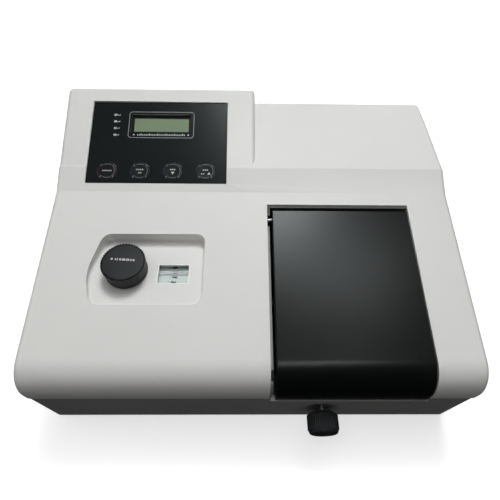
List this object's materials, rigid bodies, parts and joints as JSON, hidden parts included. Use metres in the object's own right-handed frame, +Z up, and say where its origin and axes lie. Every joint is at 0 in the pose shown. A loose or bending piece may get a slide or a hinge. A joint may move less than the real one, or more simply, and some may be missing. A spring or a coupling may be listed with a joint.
{
  "type": "spectrophotometer",
  "caption": "Bench visible-light spectrophotometer: sloped off-white case, black console with display, wavelength knob and dial, hinged black compartment lid, sliding cell carriage.",
  "frame": {"origin": "on the bench, under the middle of the whole instrument's box with the lid shut and the pull rod in", "axes": "+X to the operator's right, +Y to the back, +Z up; the operator stands at -Y"},
  "size_m": [0.468, 0.412, 0.2029],
  "materials": {
    "off_white_case": "fine satin texture",
    "dark_grey_base": "satin powder coat",
    "foot_rubber": "matte",
    "screw_steel": "plain",
    "overlay_black": "semi-gloss film",
    "key_black": "satin",
    "switch_grey": "satin",
    "board_green": "solder mask",
    "lcd_green": "reflective display",
    "clear_pane": "clear",
    "lamp_mark": "diffusing",
    "knob_black": "satin",
    "shaft_steel": "ground",
    "gear_brass": "machined",
    "dial_white": "white enamel",
    "white_line": "painted",
    "black_alloy": "black anodised",
    "optic_mirror": "first surface",
    "optic_glass": "polished",
    "desiccant_steel": "tinned",
    "sheet_alloy": "plain",
    "lamp_glass": "clear",
    "ceramic": "unglazed",
    "box_black": "matte black",
    "lid_black": "satin",
    "strip_grey": "satin",
    "foam": "foam",
    "cast_grey": "cast",
    "gold_can": "plated",
    "core_iron": "varnished",
    "socket_black": "moulded",
    "rocker_red": "moulded",
    "port_steel": "plated",
    "fan_black": "moulded",
    "guard_steel": "plated"
  },
  "bodies": {
    "instrument": {"case": "off_white_case", "base_tray": "dark_grey_base", "feet": "foot_rubber", "case_screws": "screw_steel", "membrane_panel": "overlay_black", "key_switches": "switch_grey", "keypad_board": "board_green", "lcd_module": "lcd_green", "lcd_window": "clear_pane", "indicator_lights": "lamp_mark", "shaft_bush": "gear_brass", "scale_window": "clear_pane", "cursor_line": "white_line", "mono_housing": "black_alloy", "mono_cover": "black_alloy", "collimating_mirror": "optic_mirror", "focusing_mirror": "optic_mirror", "mirror_mounts": "sheet_alloy", "entrance_slit": "black_alloy", "exit_slit": "black_alloy", "desiccant_can": "desiccant_steel", "lamp_house": "sheet_alloy", "tungsten_lamp": "lamp_glass", "lamp_socket": "ceramic", "condenser_lens": "optic_glass", "heat_filter": "optic_glass", "sample_box": "box_black", "hinge_pins": "shaft_steel", "seal_strip": "strip_grey", "lid_gasket": "foam", "carriage_rails": "shaft_steel", "rod_bushing": "gear_brass", "detector_housing": "cast_grey", "photodiode": "gold_can", "preamp_board": "board_green", "main_board": "board_green", "transformer": "core_iron", "mains_inlet": "socket_black", "switch_bezel": "socket_black", "data_port": "port_steel", "fan_frame": "fan_black", "fan_guard": "guard_steel"},
    "lid": {"lid": "lid_black"},
    "wavelength_control": {"wavelength_knob": "knob_black", "knob_shaft": "shaft_steel", "wavelength_dial": "dial_white", "pinion": "gear_brass"},
    "grating_drive": {"sector_gear": "gear_brass", "grating_table": "black_alloy", "grating": "optic_glass"},
    "cell_carriage": {"carriage_slide": "cast_grey", "cell_holder": "black_alloy", "pull_rod": "shaft_steel", "rod_knob": "knob_black"},
    "key_1": {"key_1": "key_black"},
    "key_2": {"key_2": "key_black"},
    "key_3": {"key_3": "key_black"},
    "key_4": {"key_4": "key_black"},
    "mains_rocker": {"rocker_switch": "rocker_red"},
    "fan_rotor": {"fan_rotor": "fan_black"}
  },
  "joints": [
    {"name": "lid_hinge", "type": "hinge", "parent": "instrument", "child": "lid", "pos_m": [0.10115, 0.0083, 0.148], "axis": [-1, 0, 0], "range_deg": [0, 95]},
    {"name": "wavelength_turn", "type": "hinge", "parent": "instrument", "child": "wavelength_control", "pos_m": [-0.138, -0.054, 0.14], "axis": [0, 0, 1], "range_deg": [-64.2, 166.8]},
    {"name": "grating_turn", "type": "hinge", "parent": "instrument", "child": "grating_drive", "pos_m": [-0.093, 0.006, 0.075], "axis": [0, 0, 1], "range_deg": [-18.7, 7.2]},
    {"name": "carriage_slide", "type": "slide", "parent": "instrument", "child": "cell_carriage", "axis": [0, -1, 0], "range_m": [0, 0.048]},
    {"name": "key_1_press", "type": "slide", "parent": "instrument", "child": "key_1", "axis": [0, 0.309, -0.9511], "range_m": [0, 0.0005], "stiffness_N_per_m": 1500, "springref_m": -0.0003},
    {"name": "key_2_press", "type": "slide", "parent": "instrument", "child": "key_2", "axis": [0, 0.309, -0.9511], "range_m": [0, 0.0005], "stiffness_N_per_m": 1500, "springref_m": -0.0003},
    {"name": "key_3_press", "type": "slide", "parent": "instrument", "child": "key_3", "axis": [0, 0.309, -0.9511], "range_m": [0, 0.0005], "stiffness_N_per_m": 1500, "springref_m": -0.0003},
    {"name": "key_4_press", "type": "slide", "parent": "instrument", "child": "key_4", "axis": [0, 0.309, -0.9511], "range_m": [0, 0.0005], "stiffness_N_per_m": 1500, "springref_m": -0.0003},
    {"name": "rocker_tilt", "type": "hinge", "parent": "instrument", "child": "mains_rocker", "pos_m": [0.13, 0.197, 0.045], "axis": [-1, 0, 0], "range_deg": [0, 16]},
    {"name": "fan_spin", "type": "hinge", "parent": "instrument", "child": "fan_rotor", "pos_m": [-0.15, 0.19, 0.05], "axis": [0, 1, 0], "continuous": true}
  ],
  "couplings": [
    {"joint": "grating_turn", "follows": "wavelength_turn", "ratio": -0.11111}
  ]
}
